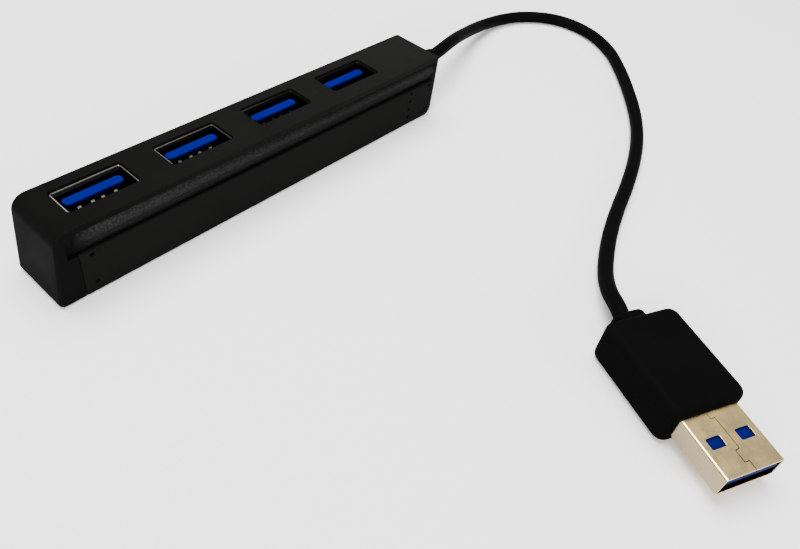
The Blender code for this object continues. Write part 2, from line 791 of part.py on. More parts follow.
def make_plug_shell(finish):
    sheet = SHELL_SHEET
    outer = rounded_rectangle(PLUG_LENGTH / 2, PLUG_WIDTH / 2, PLUG_CORNER)
    inner = rounded_rectangle(PLUG_LENGTH / 2 - sheet, PLUG_WIDTH / 2 - sheet, PLUG_CORNER - sheet)
    rear = -(PLUG_SHOWN + PLUG_BURIED)
    rings = [(outer, rear), (outer, 0.0), (inner, 0.0), (inner, rear)]
    shell = sleeve("plug_shell", rings, "X", finish)
    reach = PLUG_WIDTH
    windows = []
    for side in (-1, 1):
        v = sorted((side * WINDOW_INNER, side * WINDOW_OUTER))
        windows.append(((WINDOW_REAR, v[0], -reach), (WINDOW_FRONT, v[1], reach)))
    cut(shell, boxes("window_cutter", windows))
    # The sheet's ends meet in a dovetail along the upper face.
    line = list(zip(SEAM, SEAM_SIDES))
    near = [(u + a * SEAM_HALF, v + b * SEAM_HALF) for (u, v), (a, b) in line]
    far = [(u - a * SEAM_HALF, v - b * SEAM_HALF) for (u, v), (a, b) in line]
    seam_cutter = prism("seam_cutter", near + far[::-1], "Z", PLUG_WIDTH / 4, PLUG_WIDTH)
    cut(shell, seam_cutter)
    shade(shell)
    return [shell, bpy.data.objects["window_cutter"], seam_cutter]


def make_plug_inside(finishes):
    inset = SHELL_SHEET + PLUG_PLAY
    half = PLUG_LENGTH / 2 - inset
    head = PLUG_WIDTH / 2 - inset
    rear = -(PLUG_SHOWN + PLUG_BURIED - PLUG_PLAY)
    insulator = boxes("plug_insulator", [((rear, -half, 0.0), (-PLUG_PLAY, half, head))], finishes["blue"])
    bevel(insulator, PACKAGE_CHAMFER, segments=1)
    made = [insulator]
    grooves = []
    half_slot = BLADE_HALF_WIDTH + PLUG_PLAY
    for number, offset in enumerate(CONTACT_OFFSETS, start=1):
        grooves.append(
            (
                (BLADE_REAR - PLUG_PLAY, offset - half_slot, -BLADE_GROOVE),
                (BLADE_FRONT + PLUG_PLAY, offset + half_slot, BLADE_GROOVE),
            )
        )
        low = (BLADE_REAR, offset - BLADE_HALF_WIDTH, BLADE_FACE)
        high = (BLADE_FRONT, offset + BLADE_HALF_WIDTH, BLADE_FACE + BLADE_SHEET)
        made.append(boxes(f"plug_contact_{number}", [(low, high)], finishes["gold"]))
    groove_cutter = boxes("plug_groove_cutter", grooves)
    cut(insulator, groove_cutter)
    made.append(groove_cutter)
    return made


def make_plug_grip(finish):
    front = -PLUG_SHOWN
    back = front - GRIP_LENGTH
    corner = GRIP_CORNER
    outline = rounded_outline(
        [
            (back, -GRIP_HALF_WIDTH, corner),
            (front, -GRIP_HALF_WIDTH, corner),
            (front, GRIP_HALF_WIDTH, corner),
            (back, GRIP_HALF_WIDTH, corner),
        ],
        steps=5,
    )
    grip = prism("plug_overmould", outline, "Z", -GRIP_HALF_HEIGHT, GRIP_HALF_HEIGHT, finish)
    bevel(grip, GRIP_EDGE, segments=4)
    pocket = boxes(
        "pocket_cutter",
        [
            (
                (front - PLUG_BURIED - GAP, -PLUG_LENGTH / 2 - GAP, -PLUG_WIDTH / 2 - GAP),
                (front + CUT_REACH, PLUG_LENGTH / 2 + GAP, PLUG_WIDTH / 2 + GAP),
            )
        ],
    )
    cut(grip, pocket)
    collar_outline = rounded_rectangle(COLLAR_HALF_WIDTH, COLLAR_HALF_HEIGHT, COLLAR_CORNER)
    collar = prism("collar", collar_outline, "X", back - COLLAR_LENGTH, back + GRIP_CORNER)
    bevel(collar, COLLAR_ROUNDING, segments=3)
    join(grip, collar)
    shape = bmesh.new()
    end = back - COLLAR_LENGTH
    add_cylinder(shape, (0.0, 0.0), CORD_RADIUS + GAP, "X", end - COLLAR_LENGTH, end + SOCKET_DEPTH, 16)
    socket = add_object("cord_socket_cutter", mesh_of(shape, "cord_socket_cutter"))
    cut(grip, socket)
    shade(grip)
    return [grip, pocket, collar, socket]


def make_plug(finishes):
    frame = bpy.data.objects.new("plug_frame", None)
    bpy.context.scene.collection.objects.link(frame)
    frame.location = PLUG_MOUTH
    frame.rotation_euler = (0.0, 0.0, PLUG_HEADING)
    pieces = make_plug_shell(finishes["plug_plate"])
    pieces += make_plug_inside(finishes)
    pieces += make_plug_grip(finishes["grip"])
    for piece in pieces:
        piece.parent = frame


def make_finishes():
    return {
        "case": material("case", (0.018, 0.018, 0.02), 0.45),
        "panel": material("panel", (0.02, 0.02, 0.022), 0.55),
        "gloss": material("gloss", (0.012, 0.012, 0.013), 0.15),
        "board": material("board", (0.01, 0.12, 0.05), 0.4),
        "nickel": material("nickel", (0.72, 0.7, 0.66), 0.28, 1.0),
        "plug_plate": material("plug_plate", (0.78, 0.72, 0.6), 0.3, 1.0),
        "blue": material("blue", (0.01, 0.06, 0.55), 0.4),
        "gold": material("gold", (0.85, 0.65, 0.3), 0.25, 1.0),
        "chip": material("chip", (0.02, 0.02, 0.02), 0.6),
        "can": material("can", (0.75, 0.75, 0.76), 0.3, 1.0),
        "cord": material("cord", (0.02, 0.02, 0.021), 0.5),
        "grip": material("grip", (0.016, 0.016, 0.017), 0.6),
        "red": material("red", (0.5, 0.02, 0.02), 0.5),
        "white": material("white", (0.8, 0.8, 0.8), 0.5),
        "green": material("green", (0.02, 0.3, 0.06), 0.5),
        "black": material("black", (0.02, 0.02, 0.02), 0.5),
    }


def main():
    for old in list(bpy.data.objects):
        bpy.data.objects.remove(old, do_unlink=True)
    finishes = make_finishes()
    make_top_housing(finishes["case"])
    make_front_panel(finishes["panel"])
    make_trim_strip(finishes["gloss"])
    make_base_cover(finishes["panel"])
    make_circuit_board(finishes["board"])
    make_ports(finishes)
    make_board_parts(finishes)
    make_gland(finishes["grip"])
    make_cable_tail(finishes)
    make_cord(finishes["cord"])
    make_plug(finishes)


main()
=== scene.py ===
"""Looks of the four-port bar hub: camera, light, floor, lead, and every visible surface, in metres."""

import json
import math

import bmesh
import bpy
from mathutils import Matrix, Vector


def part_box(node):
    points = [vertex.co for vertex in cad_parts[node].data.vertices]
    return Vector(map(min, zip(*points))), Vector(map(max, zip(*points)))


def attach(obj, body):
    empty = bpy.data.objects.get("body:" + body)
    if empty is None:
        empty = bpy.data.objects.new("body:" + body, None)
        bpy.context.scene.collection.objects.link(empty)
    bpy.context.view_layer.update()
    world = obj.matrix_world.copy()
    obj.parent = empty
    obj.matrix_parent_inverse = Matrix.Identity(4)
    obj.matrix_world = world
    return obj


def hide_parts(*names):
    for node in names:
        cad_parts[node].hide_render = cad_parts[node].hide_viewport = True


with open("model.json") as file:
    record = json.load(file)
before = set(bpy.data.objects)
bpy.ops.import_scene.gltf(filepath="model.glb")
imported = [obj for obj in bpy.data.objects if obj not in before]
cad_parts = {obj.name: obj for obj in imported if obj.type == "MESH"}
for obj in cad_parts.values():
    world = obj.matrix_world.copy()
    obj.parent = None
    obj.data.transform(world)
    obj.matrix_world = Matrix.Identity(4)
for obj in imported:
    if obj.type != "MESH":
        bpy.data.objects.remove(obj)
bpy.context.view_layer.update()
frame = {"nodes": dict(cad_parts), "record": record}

MM = 0.001
GAP = 0.3 * MM
HUB = "hub"
PORT_COUNT = 4
CONTACT_COUNT = 4
CONTACT_OFFSETS = (-3.5 * MM, -1.0 * MM, 1.0 * MM, 3.5 * MM)

# Housing
END_LEAN = 1.8 * MM
END_ROUNDING = 3.0 * MM
FOOT_ROUNDING = (1.0 * MM, 2.0 * MM)  # at the free end and at the cable end
EDGE_ROUNDING = 0.55 * MM
TOP_WALL = 1.2 * MM
SIDE_WALL = 1.2 * MM
FRONT_WALL = 1.1 * MM
FREE_END_WALL = 2.5 * MM
CABLE_END_WALL = 1.4 * MM
EDGE_SOFTENING = 0.12 * MM  # on the edges that the cuts leave
HOLE_CLEARANCE = 0.15 * MM  # between a socket's lip and the housing
HOLE_FRONT = 0.15 * MM  # more room along the front edge of a socket
PANEL_GROWTH = 0.2 * MM  # the trim is drawn this much closer to the housing than in the frame
PANEL_ROUNDING = 0.3 * MM
DIMPLE_RADIUS = 0.44 * MM
DIMPLE_DEPTH = 0.5 * MM
BEAD_RISE = 0.8 * MM
BEAD_HALF = 2.0 * MM
BEAD_START = -44.9 * MM
BEAD_RAMP = 1.9 * MM
BEAD_NOSE_SHARE = 0.4  # share of its height that the bead starts with
BEAD_ARC_STEPS = 18
BEAD_NOSE_STEPS = 10
BEAD_STATIONS = 8  # along its straight part
DIMPLE_PAIRS_X = (-42.3 * MM, 47.4 * MM)
DIMPLE_PAIR_HEIGHTS = (2.3 * MM, 8.7 * MM)
DIMPLE_COLUMN_X = 40.9 * MM
DIMPLE_COLUMN_HEIGHTS = (2.2 * MM, 4.4 * MM, 6.6 * MM, 8.8 * MM)

# Sockets
PORT_FOOT = 3.3 * MM
LIP_FLARE = 0.1 * MM  # the lip stands out from the body by this much on the short sides
LIP_SPREAD = 0.35 * MM  # and by this much on the broad sides
LIP_DEPTH = 0.6 * MM
SHELL_CORNER = 0.6 * MM
FINGER_OFFSET = 3.1 * MM
FINGER_HALF = 0.9 * MM
FINGER_ROOT = 3.6 * MM
FINGER_TIP = 8.2 * MM
FINGER_SLIT = 0.2 * MM
TONGUE_SPREAD = (-0.2 * MM, 1.8 * MM)  # faces of the tongue, counted from the socket's middle
TONGUE_BASE_TOP = 3.8 * MM
TONGUE_END_ROUNDING = 0.8 * MM
TONGUE_EDGE = 0.2 * MM
GROOVE_HALF = 0.625 * MM
GROOVE_FLOOR = 1.25 * MM
GROOVE_TOP = 13.4 * MM

# Finish
# Painted light and shade along the bar: two places along the bar, and the share of the colour at each
# painted shade: the sockets' plating darker towards the cable end, where the far rims lie out of the
# light
RIM_PAINTED_SHADE = (-24 * MM, 10 * MM, 1.0, 0.09)
# painted light: the case plastic lighter towards the cable end, where its top catches more light
CASE_PAINTED_LIGHT = (-46 * MM, 46 * MM, 0.85, 1.75)
# Painted highlight on the bead: two levels of gloss, their two places along the bar, and the heights
# between which it sets in
BEAD_HIGHLIGHT = (0.15, 0.06, -30 * MM, 20 * MM, 11.9 * MM, 13.1 * MM)
# Painted shade on the contacts: a tone for each socket's contact leaves, darker for sockets further along
# the bar, where the contacts lie in shade
LEAF_SHADES = {
    1: (0.13, 0.11, 0.09),
    2: (0.1, 0.09, 0.08),
    3: (0.02, 0.018, 0.017),
    4: (0.006, 0.006, 0.005),
}
# Scales of the noises, per metre
HANDLED_SCALE = 90.0
DUST_SCALE = 2400.0
MARK_SCALE = 330.0
ROLLED_SCALE = 2600.0
WAVE_SCALE = 420.0
WORN_GLOSS_SCALE = 3000.0
PAPER_SCALE = 900.0
SPECK_LEVEL = 0.82  # how high the noise has to reach for a speck of dust
DUST = (0.03, 0.029, 0.026)
# painted shade: the colour a socket's plating goes to inside the socket and along its near edge
PAINTED_SHADE = (0.006, 0.006, 0.007)
# Painted shade: where a socket's plating and tongue are still lit, and the length over which they go dark
# below or before it, in the shade of the housing and the socket
RIM_DARK_BELOW = (15.22 * MM, 0.16 * MM)
RIM_DARK_BEFORE = (-2.3 * MM, 0.1 * MM)
TONGUE_DARK_BELOW = (14.2 * MM, 0.4 * MM)

# Camera, light and floor
CAMERA_PLACE = (-81.34, -94.63, 97.73)  # mm
CAMERA_TURN = (45.82, -6.865, -48.0)  # degrees
CAMERA_LENS = 32.48
CAMERA_SHIFT = (0.0162, -0.0166)
WORLD_STRENGTH = 0.45
LIGHTS = (  # name, place, target, size, power
    ("overhead", (0.05, 0.1, 0.6), (0.03, -0.04, 0.0), (0.5, 0.5), 11.0),
    ("left_front", (-0.5, -0.25, 0.35), (0.0, -0.02, 0.0), (0.3, 0.3), 4.4),
    ("front", (0.0, -0.7, 0.3), (0.02, -0.1, 0.0), (0.4, 0.2), 2.6),
)
FLOOR_REACH = 1.5
FLOOR_DROP = 0.02 * MM

# Lead
CORD_RADIUS = 1.6 * MM
EXIT_Y = 0.7 * MM
GLAND_BORE = 2.5 * MM
EXIT_Z = 9.6 * MM
SOCKET_DEPTH = 1.0 * MM
CORD_CLEARANCE = 0.1 * MM
CORD_POINTS = 150
CURVE_STEPS = 24  # between two points of the route
PLUG_APPROACH = 0.9 * MM  # the route's last point before the plug's neck
ROUND_SIDES = 48

# Plug, in its own frame: +X towards the mouth, mouth at 0, +Z up
PLUG_MOUTH = Vector((5.4 * MM, -107.0 * MM, 4.35 * MM))
PLUG_HEADING = math.radians(-116.0)
PLUG_WIDTH = 12.0 * MM
PLUG_HEIGHT = 4.5 * MM
PLUG_SHOWN = 10.9 * MM
PLUG_BURIED = 1.9 * MM
SHEET = 0.3 * MM
WINDOW_PLACE = (-5.9 * MM, 3.0 * MM)
WINDOW_HALF = (1.0 * MM, 1.45 * MM)
WINDOW_CORNER = 0.3 * MM
SEAM = (
    (1.0 * MM, 0.0),
    (-1.65 * MM, 0.0),
    (-1.65 * MM, -0.9 * MM),
    (-3.75 * MM, -0.9 * MM),
    (-3.95 * MM, 0.0),
    (-9.7 * MM, 0.0),
    (-9.7 * MM, -0.85 * MM),
    (-14.0 * MM, -0.85 * MM),
)
SEAM_SIDES = ((0, 1), (-1, 1), (-1, 1), (0.8, 1), (0.8, 1), (-1, 1), (-1, 1), (0, 1))  # mitres
SEAM_HALF = 0.07 * MM
GRIP_LENGTH = 20.2 * MM
GRIP_HALF_WIDTH = 7.8 * MM
GRIP_HALF_HEIGHT = 4.3 * MM
GRIP_CORNER = 2.0 * MM
GRIP_EDGE = 1.5 * MM
COLLAR_LENGTH = 2.2 * MM
COLLAR_HALF = (3.5 * MM, 2.7 * MM)
COLLAR_CORNER = 2.0 * MM
COLLAR_EDGE = 0.8 * MM
POCKET_CLEARANCE = 0.12 * MM
BLOCK_CLEARANCE = 0.2 * MM
BLADE_HALF = 0.7 * MM
BLADE_SPAN = (-9.4 * MM, -1.0 * MM)
BLADE_TOP = 0.5 * MM


# ---------------------------------------------------------------- geometry helpers


def rounded_outline(corners, steps=6):
    """Points of a closed outline. Each corner is (a, b, radius); a radius above 0 becomes an arc."""
    points = []
    count = len(corners)
    for index, (a, b, radius) in enumerate(corners):
        here = Vector((a, b))
        if radius <= 0.0:
            points.append(here)
            continue
        back = (Vector(corners[index - 1][:2]) - here).normalized()
        ahead = (Vector(corners[(index + 1) % count][:2]) - here).normalized()
        half = back.angle(ahead) / 2
        centre = here + (back + ahead).normalized() * (radius / math.sin(half))
        start = here + back * (radius / math.tan(half)) - centre
        end = here + ahead * (radius / math.tan(half)) - centre
        sweep = start.angle_signed(end)
        for step in range(steps + 1):
            turn = -sweep * step / steps
            cosine, sine = math.cos(turn), math.sin(turn)
            across = start.x * cosine - start.y * sine
            up = start.x * sine + start.y * cosine
            points.append(centre + Vector((across, up)))
    return points


def rounded_rectangle(half_a, half_b, radius, steps=6):
    signs = ((-1, -1), (1, -1), (1, 1), (-1, 1))
    return rounded_outline([(a * half_a, b * half_b, radius) for a, b in signs], steps)


PLACES = {
    "X": lambda a, b, along: (along, a, b),
    "Y": lambda a, b, along: (a, along, b),
    "Z": lambda a, b, along: (a, b, along),
}


def add_object(name, shape, finish=None):
    bmesh.ops.recalc_face_normals(shape, faces=shape.faces)
    mesh = bpy.data.meshes.new(name)
    shape.to_mesh(mesh)
    shape.free()
    made = bpy.data.objects.new(name, mesh)
    bpy.context.scene.collection.objects.link(made)
    if finish is not None:
        mesh.materials.append(finish)
    return made


def add_prism(shape, outline, axis, start, end):
    place = PLACES[axis]
    low = [shape.verts.new(place(a, b, start)) for a, b in outline]
    high = [shape.verts.new(place(a, b, end)) for a, b in outline]
    shape.faces.new(low)
    shape.faces.new(list(reversed(high)))
    for index in range(len(outline)):
        after = (index + 1) % len(outline)
        shape.faces.new((low[index], high[index], high[after], low[after]))


def prism(name, outline, axis, start, end, finish=None):
    shape = bmesh.new()
    add_prism(shape, outline, axis, start, end)
    return add_object(name, shape, finish)


def boxes(name, spans, finish=None):
    shape = bmesh.new()
    for low, high in spans:
        outline = [(low[0], low[1]), (high[0], low[1]), (high[0], high[1]), (low[0], high[1])]
        add_prism(shape, outline, "Z", low[2], high[2])
    return add_object(name, shape, finish)


def add_cylinder(shape, centre, radius, axis, start, end, sides):
    turns = [math.tau * side / sides for side in range(sides)]
    outline = [(centre[0] + radius * math.cos(t), centre[1] + radius * math.sin(t)) for t in turns]
    add_prism(shape, outline, axis, start, end)


def sleeve(name, rings, axis, finish):
    """A tube whose skin runs through closed rings of points: each is (outline, place along the axis)."""
    shape = bmesh.new()
    place = PLACES[axis]
    made = [[shape.verts.new(place(a, b, along)) for a, b in outline] for outline, along in rings]
    count = len(made[0])
    for index, ring in enumerate(made):
        following = made[(index + 1) % len(made)]
        for side in range(count):
            after = (side + 1) % count
            shape.faces.new((ring[side], ring[after], following[after], following[side]))
    return add_object(name, shape, finish)


def loft(name, rings, finish):
    """A closed solid through rings of 3-D points, with a flat cap at each end."""
    shape = bmesh.new()
    made = [[shape.verts.new(point) for point in ring] for ring in rings]
    count = len(made[0])
    for ring, following in zip(made, made[1:]):
        for side in range(count):
            after = (side + 1) % count
            shape.faces.new((ring[side], ring[after], following[after], following[side]))
    shape.faces.new(made[0])
    shape.faces.new(list(reversed(made[-1])))
    return add_object(name, shape, finish)


def bevel(made, width, segments=3, angle=40.0):
    modifier = made.modifiers.new("rounded", "BEVEL")
    modifier.width = width
    modifier.segments = segments
    modifier.limit_method = "ANGLE"
    modifier.angle_limit = math.radians(angle)
    return modifier


def settle(made, cutters=()):
    """Makes the modifiers' result the mesh, and drops the cutters."""
    graph = bpy.context.evaluated_depsgraph_get()
    mesh = bpy.data.meshes.new_from_object(made.evaluated_get(graph))
    made.modifiers.clear()
    made.data = mesh
    for cutter in cutters:
        bpy.data.objects.remove(cutter, do_unlink=True)


def combine(made, other, operation="DIFFERENCE"):
    modifier = made.modifiers.new(other.name, "BOOLEAN")
    modifier.operation = operation
    modifier.solver = "EXACT"
    modifier.object = other
    settle(made, [other])


def smooth(made, angle=32.0):
    made.data.shade_smooth()
    made.data.set_sharp_from_angle(angle=math.radians(angle))
    weighted = made.modifiers.new("weighted", "WEIGHTED_NORMAL")
    weighted.keep_sharp = True
    settle(made)


def smooth_path(route, count):
    """Evenly spaced points along a Catmull-Rom curve through the route's points."""
    ends = [2 * route[0] - route[1], *route, 2 * route[-1] - route[-2]]
    fine = []
    for index in range(1, len(ends) - 2):
        before, here, after, beyond = ends[index - 1 : index + 3]
        for step in range(CURVE_STEPS):
            t = step / CURVE_STEPS
            straight = 2 * here + (after - before) * t
            bend = (2 * before - 5 * here + 4 * after - beyond) * t**2
            twist = (3 * here - before - 3 * after + beyond) * t**3
            fine.append(0.5 * (straight + bend + twist))
    fine.append(route[-1])
    reach = [0.0]
    for first, second in zip(fine, fine[1:]):
        reach.append(reach[-1] + (second - first).length)
    points = []
    index = 0
    for step in range(count):
        wanted = reach[-1] * step / (count - 1)
        while index < len(fine) - 2 and reach[index + 1] < wanted:
            index += 1
        share = (wanted - reach[index]) / (reach[index + 1] - reach[index])
        points.append(fine[index].lerp(fine[index + 1], share))
    return points, reach[-1]


# ---------------------------------------------------------------- materials


def node(tree, kind, **inputs):
    made = tree.nodes.new(kind)
    for name, value in inputs.items():
        made.inputs[name.replace("_", " ")].default_value = value
    return made


def surface(name, color, roughness, metallic=0.0, specular=0.5):
    made = bpy.data.materials.new(name)
    made.use_nodes = True
    tree = made.node_tree
    shader = tree.nodes["Principled BSDF"]
    shader.inputs["Base Color"].default_value = (*color, 1.0)
    shader.inputs["Roughness"].default_value = roughness
    shader.inputs["Metallic"].default_value = metallic
    shader.inputs["Specular IOR Level"].default_value = specular
    place = tree.nodes.new("ShaderNodeTexCoord").outputs["Object"]
    return made, tree, shader, place


def noise(tree, place, scale, detail=3.0, roughness=0.5):
    made = node(tree, "ShaderNodeTexNoise", Scale=scale, Detail=detail, Roughness=roughness)
    tree.links.new(place, made.inputs["Vector"])
    return made.outputs["Fac"]


def remap(tree, value, low, high, to_low, to_high):
    made = node(tree, "ShaderNodeMapRange")
    made.inputs["From Min"].default_value = low
    made.inputs["From Max"].default_value = high
    made.inputs["To Min"].default_value = to_low
    made.inputs["To Max"].default_value = to_high
    tree.links.new(value, made.inputs["Value"])
    return made.outputs["Result"]


def mix_color(tree, factor, first, second):
    made = tree.nodes.new("ShaderNodeMix")
    made.data_type = "RGBA"
    tree.links.new(factor, made.inputs["Factor"])
    for socket, value in ((6, first), (7, second)):
        if isinstance(value, tuple):
            made.inputs[socket].default_value = (*value, 1.0)
        else:
            tree.links.new(value, made.inputs[socket])
    return made.outputs[2]


def bump(tree, shader, height, distance, strength=1.0):
    made = node(tree, "ShaderNodeBump", Strength=strength, Distance=distance)
    tree.links.new(height, made.inputs["Height"])
    normal = shader.inputs["Normal"]
    if normal.is_linked:
        tree.links.new(normal.links[0].from_socket, made.inputs["Normal"])
    tree.links.new(made.outputs["Normal"], normal)


def moulded(name, color, roughness, grain, size, specular=0.5, specks=0.0, handled=0.08):
    """Moulded plastic: a fine grain, a slow change of gloss where it was handled, and pale dust."""
    made, tree, shader, place = surface(name, color, roughness, specular=specular)
    fine = noise(tree, place, 1 / size, detail=2.0, roughness=0.6)
    bump(tree, shader, fine, grain)
    slow = noise(tree, place, HANDLED_SCALE, detail=4.0)
    sheen = remap(tree, slow, 0.35, 0.65, roughness - handled, roughness + handled)
    tree.links.new(sheen, shader.inputs["Roughness"])
    tone = mix_color(tree, slow, tuple(c * 0.8 for c in color), tuple(c * 1.2 for c in color))
    if specks > 0.0:
        dust = noise(tree, place, DUST_SCALE, detail=1.0)
        lit = remap(tree, dust, specks, specks + 0.03, 0.0, 1.0)
        tone = mix_color(tree, lit, tone, DUST)
    tree.links.new(tone, shader.inputs["Base Color"])
    return made


def plated(name, color, roughness, smudge, stain=(0.8, 0.74, 0.62)):
    """Plated sheet: rolled grain, and finger marks that dull and warm it."""
    made, tree, shader, place = surface(name, color, roughness, metallic=1.0)
    marks = noise(tree, place, MARK_SCALE, detail=6.0, roughness=0.66)
    cloudy = remap(tree, marks, 0.38, 0.66, 0.0, 1.0)
    dull = tuple(c * f for c, f in zip(color, stain))
    tree.links.new(mix_color(tree, cloudy, color, dull), shader.inputs["Base Color"])
    sheen = remap(tree, marks, 0.35, 0.7, roughness, roughness + smudge)
    tree.links.new(sheen, shader.inputs["Roughness"])
    rolled = noise(tree, place, ROLLED_SCALE, detail=3.0)
    bump(tree, shader, rolled, 0.004 * MM)
    wavy = noise(tree, place, WAVE_SCALE, detail=2.0)
    bump(tree, shader, wavy, 0.03 * MM, strength=0.5)
    return made


def split_place(tree):
    split = tree.nodes.new("ShaderNodeSeparateXYZ")
    tree.links.new(tree.nodes.new("ShaderNodeTexCoord").outputs["Object"], split.inputs["Vector"])
    return split.outputs


def multiplied(tree, first, second):
    made = tree.nodes.new("ShaderNodeMath")
    made.operation = "MULTIPLY"
    tree.links.new(first, made.inputs[0])
    tree.links.new(second, made.inputs[1])
    return made.outputs[0]


def shaded_before(made, axis, edge, fade, dark_color):
    """Darkens a material below a place on an axis, where it is hardly lit: painted shade."""
    tree = made.node_tree
    shader = tree.nodes["Principled BSDF"]
    share = remap(tree, split_place(tree)[axis], edge - fade, edge, 0.0, 1.0)
    bright = shader.inputs["Base Color"].links[0].from_socket
    tree.links.new(mix_color(tree, share, dark_color, bright), shader.inputs["Base Color"])
    return made


def scaled_along(made, start, end, first, last):
    """Paints light and shade along the bar by scaling a material's colour: by first up to start, and by
    last from end on.
    """
    tree = made.node_tree
    shader = tree.nodes["Principled BSDF"]
    factor = remap(tree, split_place(tree)["X"], start, end, first, last)
    scaled = tree.nodes.new("ShaderNodeVectorMath")
    scaled.operation = "SCALE"
    tree.links.new(shader.inputs["Base Color"].links[0].from_socket, scaled.inputs[0])
    tree.links.new(factor, scaled.inputs["Scale"])
    tree.links.new(scaled.outputs[0], shader.inputs["Base Color"])
    return made


def painted_bead_highlight(made, level, end_level, start, end, low, high):
    """Painted highlight and shade: gloss strong on the bead's upper half, where the light catches it, and
    weak below it, in the hollow and at the cable end; a fine noise gives it grain.
    """
    tree = made.node_tree
    place = split_place(tree)
    along = remap(tree, place["X"], start, end, level, end_level)
    upper = remap(tree, place["Z"], low, high, 0.1, 1.0)
    begun = remap(tree, place["X"], BEAD_START, BEAD_START + 2 * BEAD_RAMP, 0.05, 1.0)
    object_place = tree.nodes.new("ShaderNodeTexCoord").outputs["Object"]
    specks = noise(tree, object_place, WORN_GLOSS_SCALE, detail=2.0)
    grainy = remap(tree, specks, 0.38, 0.66, 0.5, 1.7)
    share = multiplied(tree, multiplied(tree, multiplied(tree, along, upper), begun), grainy)
    tree.links.new(share, tree.nodes["Principled BSDF"].inputs["Specular IOR Level"])
    return made


def plug_distance(tree, side):
    """How far a place is from the plug's middle, across it (Y) or up and down (Z)."""
    mapping = node(tree, "ShaderNodeMapping", Location=PLUG_MOUTH, Rotation=(0.0, 0.0, PLUG_HEADING))
    mapping.vector_type = "TEXTURE"
    tree.links.new(tree.nodes.new("ShaderNodeTexCoord").outputs["Object"], mapping.inputs["Vector"])
    split = tree.nodes.new("ShaderNodeSeparateXYZ")
    tree.links.new(mapping.outputs["Vector"], split.inputs["Vector"])
    size = tree.nodes.new("ShaderNodeMath")
    size.operation = "ABSOLUTE"
    tree.links.new(split.outputs[side], size.inputs[0])
    return size.outputs[0]


def shaded_plug(made, inner_shade, side_shade):
    """Painted shade on the plating: dark on the inner faces of the plug's shell and duller on its narrow
    sides, which the light hardly reaches.
    """
    tree = made.node_tree
    shader = tree.nodes["Principled BSDF"]
    across = plug_distance(tree, "Y")
    upright = plug_distance(tree, "Z")
    shares = []
    for distance, half in ((across, PLUG_WIDTH / 2 - SHEET), (upright, PLUG_HEIGHT / 2 - SHEET)):
        shares.append(remap(tree, distance, half + 0.01 * MM, half + 0.04 * MM, 0.0, 1.0))
    outside = tree.nodes.new("ShaderNodeMath")
    outside.operation = "MAXIMUM"
    tree.links.new(shares[0], outside.inputs[0])
    tree.links.new(shares[1], outside.inputs[1])
    bright = shader.inputs["Base Color"].links[0].from_socket
    side = remap(tree, across, PLUG_WIDTH / 2 - 0.1 * MM, PLUG_WIDTH / 2 - 0.01 * MM, 0.0, 1.0)
    tone = mix_color(tree, side, bright, side_shade)
    tone = mix_color(tree, outside.outputs[0], inner_shade, tone)
    tree.links.new(tone, shader.inputs["Base Color"])
    return made


